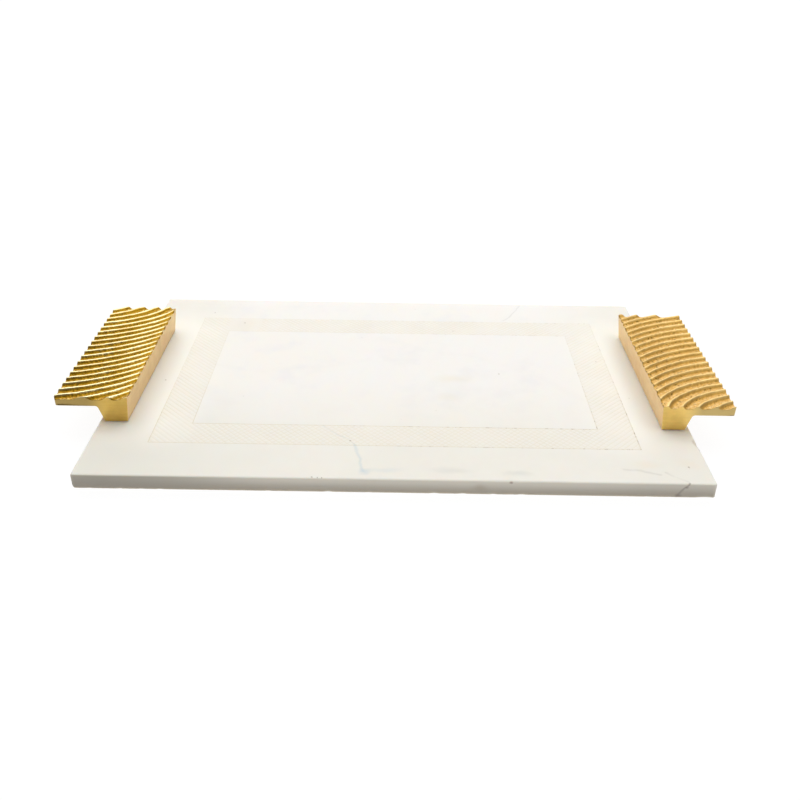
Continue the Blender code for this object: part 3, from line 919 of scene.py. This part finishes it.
def marble_material():
    material, tree, shader = new_material("honed_marble")
    place = node(tree, "TexCoord").outputs["Object"]
    axes = node(tree, "SeparateXYZ", {0: place}).outputs
    patch = noise_node(tree, place, 34.0, 3.0, 0.6)
    crooked = crooked_place(tree, place)
    colour = marble_ground(tree, place, patch)
    colour = add_warm_tones_and_painted_light(tree, colour, axes, patch)
    colour = add_sawn_sides_and_painted_shade(tree, colour, axes)
    colour = add_veins(tree, colour, crooked, place)
    colour = add_stains(tree, colour, crooked)
    colour = add_engraving(tree, colour, axes, place)
    colour = add_specks(tree, colour, place)
    rough = times_plus(tree, patch, 0.16, 0.30)
    rough = times_plus(tree, attribute(tree, "cut"), 0.2, rough)
    fine = noise_node(tree, place, 1600.0, 2.0, 0.6)
    normal = bump_normal(tree, fine, 0.25, 0.05 * MM)
    set_inputs(tree, shader, Base_Color=colour, Roughness=rough, Normal=normal)
    set_inputs(tree, shader, IOR=1.5, Subsurface_Weight=0.6, Subsurface_Scale=5 * MM)
    set_inputs(tree, shader, Subsurface_Radius=(1.0, 0.8, 0.6), Specular_IOR_Level=0.45)
    return material


# Ridges: crest (real polish, paler as a painted highlight), trough, and steep side (painted shade)
POLISHED_TONES = ((1.0, 0.90, 0.54), (0.70, 0.53, 0.19), (0.37, 0.20, 0.01))
SATIN_TONES = ((0.93, 0.69, 0.31), (0.84, 0.62, 0.31), (0.72, 0.45, 0.12))
EDGE_TINT = (1.0, 0.87, 0.60, 1)

# Filed faces: between the scratches, on them, and far out on the plate
SIDE_TONES_LEFT = ((0.72, 0.50, 0.22), (0.87, 0.65, 0.34), (0.70, 0.49, 0.22))
SIDE_TONES_RIGHT = ((0.83, 0.57, 0.27), (0.95, 0.73, 0.42), (0.79, 0.56, 0.27))
END_TONES_LEFT = ((0.62, 0.41, 0.10), (0.80, 0.55, 0.15), (0.29, 0.21, 0.08))
END_TONES_RIGHT = ((0.80, 0.55, 0.16), (1.0, 0.71, 0.23), (0.47, 0.36, 0.16))
SIDE_STRETCH = (60, 60, 700)
END_STRETCH = (60, 60, 1500)


def ridge_gold(name, tones, crest_start, roughs, grain_depth):
    """Cast ridges: bright along the crests, their tone partly a painted highlight, grainy in the troughs,
    and painted shade in deep amber down the steep sides.
    """
    crest, trough, shade_and_grain_tone = tones
    rough_crest, rough_trough = roughs
    material, tree, shader = new_material(name)
    place = node(tree, "TexCoord").outputs["Object"]
    wave = attribute(tree, "crest")
    blotch = noise_node(tree, place, 160.0, 3.0, 0.6)
    height = times_plus(tree, calc(tree, "SUBTRACT", blotch, 0.5), 0.5, wave)
    polished = ramp_between(tree, height, crest_start, crest_start + 0.55)
    grains = noise_node(tree, place, 620.0, 4.0, 0.75)
    floor_tone = mix(tree, ramp_between(tree, grains, 0.38, 0.62), shade_and_grain_tone, trough)
    # Partly a painted highlight: the crests take the pale crest tone.
    colour = mix(tree, polished, floor_tone, crest)
    uneven = times_plus(tree, blotch, 0.5, 0.75)
    steep = times(tree, attribute(tree, "steep"), uneven, clamp=True)
    # Painted shade: the steep sides are darkened to the shade tone.
    colour = mix(tree, steep, colour, shade_and_grain_tone)
    # Dark specks in the troughs and along the inner rim.
    dark_speck_noise = noise_node(tree, place, 420.0, 3.0, 0.7)
    low = one_minus(tree, ramp_between(tree, wave, 0.1, 0.6))
    in_low = times(tree, ramp_between(tree, dark_speck_noise, 0.54, 0.7), low)
    on_rim = times(tree, ramp_between(tree, dark_speck_noise, 0.42, 0.54), attribute(tree, "rim"))
    dark = times(tree, calc(tree, "MAXIMUM", in_low, on_rim), 0.75)
    colour = mix(tree, dark, colour, (0.14, 0.07, 0.01))
    rough_range = {"Value": polished, "To Min": rough_trough, "To Max": rough_crest}
    rough = node(tree, "MapRange", rough_range).outputs["Result"]
    lean = times(tree, grains, times_plus(tree, polished, -0.75, 1.0))
    normal = bump_normal(tree, lean, 0.8, grain_depth)
    set_inputs(tree, shader, Base_Color=colour, Roughness=rough, Normal=normal, Metallic=1.0)
    set_inputs(tree, shader, Specular_Tint=EDGE_TINT)
    return material


def brushed_gold(name, tones, roughness, stretch):
    """Filed faces: scratches run the way the stretch is small, and the far plate has another tone."""
    low_tone, high_tone, outer_tone = tones
    material, tree, shader = new_material(name)
    place = node(tree, "TexCoord").outputs["Object"]
    strokes = noise_node(tree, stretched(tree, place, stretch), 1.0, 5.0, 0.7)
    cloud = noise_node(tree, place, 90.0, 3.0, 0.6)
    clouded = times(tree, cloud, 0.5)
    share = calc(tree, "ADD", times(tree, strokes, 0.6), clouded, clamp=True)
    colour = mix(tree, ramp_between(tree, share, 0.3, 0.8), low_tone, high_tone)
    across = node(tree, "SeparateXYZ", {0: place}).outputs["X"]
    outward = ramp_between(tree, calc(tree, "ABSOLUTE", across), 0.183, 0.197)
    colour = mix(tree, times(tree, outward, 0.8), colour, outer_tone)
    rough = times_plus(tree, calc(tree, "SUBTRACT", strokes, 0.5), 0.25, roughness)
    normal = bump_normal(tree, strokes, 0.5, 0.06 * MM)
    set_inputs(tree, shader, Base_Color=colour, Roughness=rough, Normal=normal, Metallic=1.0)
    return material


def steel_material():
    material, tree, shader = new_material("zinc_plated_steel")
    place = node(tree, "TexCoord").outputs["Object"]
    cloud = noise_node(tree, place, 500.0, 3.0, 0.6)
    colour = mix(tree, ramp_between(tree, cloud, 0.3, 0.7), (0.50, 0.50, 0.49), (0.68, 0.68, 0.69))
    rough = times_plus(tree, cloud, 0.2, 0.24)
    normal = bump_normal(tree, cloud, 0.2, 0.02 * MM)
    set_inputs(tree, shader, Base_Color=colour, Roughness=rough, Normal=normal, Metallic=1.0)
    return material


def rubber_material():
    material, tree, shader = new_material("milky_rubber")
    place = node(tree, "TexCoord").outputs["Object"]
    cloud = noise_node(tree, place, 240.0, 3.0, 0.6)
    fine = noise_node(tree, place, 2200.0, 2.0)
    colour = mix(tree, ramp_between(tree, cloud, 0.3, 0.7), (0.62, 0.62, 0.60), (0.76, 0.76, 0.74))
    rough = times_plus(tree, cloud, 0.2, 0.45)
    normal = bump_normal(tree, fine, 0.3, 0.03 * MM)
    set_inputs(tree, shader, Base_Color=colour, Roughness=rough, Normal=normal)
    set_inputs(tree, shader, Subsurface_Weight=0.4, Subsurface_Scale=2 * MM)
    return material


# Fasteners and feet

THREAD_PITCH = 0.7 * MM
THREAD_DEPTH = 0.3 * MM
SCREW_RADIUS = 2 * MM
HEAD_HEIGHT = 2.6 * MM
RECESS_REACH = 2.1 * MM
RECESS_HALF_WIDTH = 0.5 * MM
RECESS_DEPTH = 1.5 * MM


def screw_mesh(name, head_radius):
    """A pan head at the bottom and a shank with a real helical thread above it."""
    segments = 32
    seat = SCREW_LOW.z + HEAD_HEIGHT
    tip = SCREW_HIGH.z
    rounding = HEAD_HEIGHT * 0.55
    centre = (head_radius - rounding, SCREW_LOW.z + rounding)
    profile = [(0, SCREW_LOW.z), ((head_radius - rounding) / 2, SCREW_LOW.z)]
    profile += arc(centre, rounding, -90, 0, 8)
    profile += [(head_radius, seat - 0.1 * MM), (head_radius - 0.1 * MM, seat), (SCREW_RADIUS, seat)]
    thread_start = seat + 1 * MM
    turns = (tip - 0.5 * MM - thread_start) / THREAD_PITCH
    levels = [thread_start + THREAD_PITCH * step / 8 for step in range(int(turns * 8) + 1)]
    profile += [(SCREW_RADIUS, height) for height in levels]
    profile += [(SCREW_RADIUS - 0.4 * MM, tip), (0, tip)]
    mesh = turned_mesh(name, profile, segments)
    for vert in mesh.vertices:
        height = vert.co.z
        if levels[0] < height <= levels[-1] + 1e-6:
            turn = height / THREAD_PITCH - math.atan2(vert.co.y, vert.co.x) / (2 * math.pi)
            fade = min(1, (height - levels[0]) / THREAD_PITCH)
            groove = THREAD_DEPTH * fade * abs(2 * (turn % 1) - 1)
            shrink = 1 - groove / SCREW_RADIUS
            vert.co.x *= shrink
            vert.co.y *= shrink
    return mesh


def recess_cutter(name, angle):
    """One tapered blade of the cross recess."""
    bm = bmesh.new()
    size = (2 * RECESS_REACH, 2 * RECESS_HALF_WIDTH, 2 * RECESS_DEPTH)
    turn = Matrix.Rotation(angle, 4, "Z") @ Matrix.Diagonal((*size, 1))
    bmesh.ops.create_cube(bm, size=1, matrix=Matrix.Translation((0, 0, SCREW_LOW.z)) @ turn)
    for vert in bm.verts:
        if vert.co.z > SCREW_LOW.z:
            vert.co.x *= 0.45
            vert.co.y *= 0.45
    return new_object(name, mesh_from(bm, name), [])


def add_fasteners(steel):
    head_radius = (SCREW_HIGH.x - SCREW_LOW.x) / 2
    for place in PLACES:
        low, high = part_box("screw_" + place)
        middle = Vector(((low.x + high.x) / 2, (low.y + high.y) / 2, 0))
        screw = new_object("threaded_screw_" + place, screw_mesh("screw", head_radius), [steel])
        apply_cuts(screw, [recess_cutter(f"blade_{angle}", math.radians(angle)) for angle in (20, 110)])
        screw.data.transform(Matrix.Translation(middle))
        shade(screw.data, 30)
        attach(screw, "root")
        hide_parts("screw_" + place)
        washer = new_object("pressed_washer_" + place, washer_mesh(), [steel])
        washer.data.transform(Matrix.Translation(middle))
        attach(washer, "root")
        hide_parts("washer_" + place)


def washer_mesh():
    """A stamped washer: rolled over at its outer edge on one face, with small bevels round both edges of the
    other.
    """
    outer = (WASHER_HIGH.x - WASHER_LOW.x) / 2
    inner = TAPPED_HOLE_RADIUS
    low = WASHER_LOW.z
    high = WASHER_HIGH.z
    roll = 0.25 * MM
    profile = [(inner, low), (inner, high - 0.1 * MM), (inner + 0.1 * MM, high), (outer - 0.05 * MM, high)]
    profile += [(outer, high - 0.05 * MM)]
    profile += arc((outer - roll, low + roll), roll, 0, -90, 5) + [(inner, low)]
    return turned_mesh("washer", profile, 64)


def add_feet(rubber):
    """Moulded bumpers: tapered, with a rounded rim and a shallow dish in the sole."""
    top_radius = (FOOT_HIGH.x - FOOT_LOW.x) / 2
    tip_radius = 5.2 * MM
    rim = 0.8 * MM
    dish = 0.25 * MM
    height = FOOT_HIGH.z
    profile = [(0, dish), (2.0 * MM, dish * 0.9), (3.4 * MM, dish * 0.3), (tip_radius - rim, 0)]
    profile += arc((tip_radius - rim, rim), rim, -80, -5, 6)
    profile += [(top_radius - 0.25 * MM, height - 0.5 * MM), (top_radius, height - 0.3 * MM)]
    profile += [(top_radius, height), (0, height)]
    for place in PLACES:
        low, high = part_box("foot_" + place)
        foot = new_object("moulded_bumper_" + place, turned_mesh("bumper", profile, 64), [rubber])
        foot.data.transform(Matrix.Translation(((low.x + high.x) / 2, (low.y + high.y) / 2, 0)))
        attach(foot, "root")
        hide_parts("foot_" + place)


# Studio: the camera's angles are in radians and its lens in mm

CAMERA_PLACE = Vector((0.0019, -0.5493, SLAB_BOTTOM + 0.3113))
CAMERA_YAW = 0.0021
CAMERA_PITCH = 0.5294
CAMERA_ROLL = 0.0168
CAMERA_LENS = 39.63


def add_camera():
    forward = Vector(
        (
            math.sin(CAMERA_YAW) * math.cos(CAMERA_PITCH),
            math.cos(CAMERA_YAW) * math.cos(CAMERA_PITCH),
            -math.sin(CAMERA_PITCH),
        )
    )
    level = Vector((math.cos(CAMERA_YAW), -math.sin(CAMERA_YAW), 0))
    upright = level.cross(forward)
    right = math.cos(CAMERA_ROLL) * level + math.sin(CAMERA_ROLL) * upright
    up = math.cos(CAMERA_ROLL) * upright - math.sin(CAMERA_ROLL) * level
    data = bpy.data.cameras.new("camera")
    data.lens = CAMERA_LENS
    data.sensor_width = 36
    data.clip_start = 0.01
    camera = bpy.data.objects.new("camera", data)
    turn = Matrix((right, up, -forward)).transposed().to_4x4()
    camera.matrix_world = Matrix.Translation(CAMERA_PLACE) @ turn
    bpy.context.scene.collection.objects.link(camera)
    bpy.context.scene.camera = camera


def add_softbox(name, place, target, size, brightness):
    """A rectangular light whose face has this radiance."""
    data = bpy.data.lights.new(name, "AREA")
    data.shape = "RECTANGLE"
    data.size, data.size_y = size
    data.energy = brightness * math.pi * size[0] * size[1]
    light = bpy.data.objects.new(name, data)
    light.location = place
    light.rotation_euler = (Vector(target) - Vector(place)).to_track_quat("-Z", "Y").to_euler()
    bpy.context.scene.collection.objects.link(light)


def add_floor():
    bm = bmesh.new()
    bmesh.ops.create_grid(bm, x_segments=1, y_segments=1, size=8)
    material, tree, shader = new_material("pale_floor")
    set_inputs(tree, shader, Base_Color=(0.12, 0.12, 0.12, 1), Roughness=0.9, Specular_IOR_Level=0.0)
    set_inputs(tree, shader, Emission_Color=(1, 1, 1, 1), Emission_Strength=0.92)
    floor = new_object("floor", mesh_from(bm, "floor"), [material])


def add_studio():
    world = bpy.data.worlds.new("studio")
    world.use_nodes = True
    background = world.node_tree.nodes["Background"]
    background.inputs["Color"].default_value = (1.0, 0.99, 0.97, 1)
    background.inputs["Strength"].default_value = 0.25
    bpy.context.scene.world = world
    bpy.context.scene.view_settings.view_transform = "Standard"
    add_floor()
    add_softbox("back_softbox", (-0.4, 2.4, 1.6), (0.0, 0.0, 0.0), (5.0, 2.4), 1.09)
    add_softbox("top_softbox", (-0.1, 0.85, 2.4), (-0.1, 0.85, 0.0), (4.4, 2.6), 1.55)
    add_softbox("front_right_softbox", (1.7, -1.1, 2.2), (0.1, 0.0, 0.0), (1.8, 1.8), 0.9)


add_camera()
add_studio()
gold_left = (
    ridge_gold("polished_ridges", POLISHED_TONES, 0.38, (0.15, 0.36), 0.40 * MM),
    brushed_gold("rubbed_sides_left", SIDE_TONES_LEFT, 0.38, SIDE_STRETCH),
    brushed_gold("filed_ends_left", END_TONES_LEFT, 0.36, END_STRETCH),
)
gold_right = (
    ridge_gold("satin_ridges", SATIN_TONES, 0.25, (0.42, 0.58), 0.50 * MM),
    brushed_gold("rubbed_sides_right", SIDE_TONES_RIGHT, 0.42, SIDE_STRETCH),
    brushed_gold("filed_ends_right", END_TONES_RIGHT, 0.40, END_STRETCH),
)
add_slab(marble_material())
add_handle("left", gold_left)
add_handle("right", gold_right)
add_fasteners(steel_material())
add_feet(rubber_material())
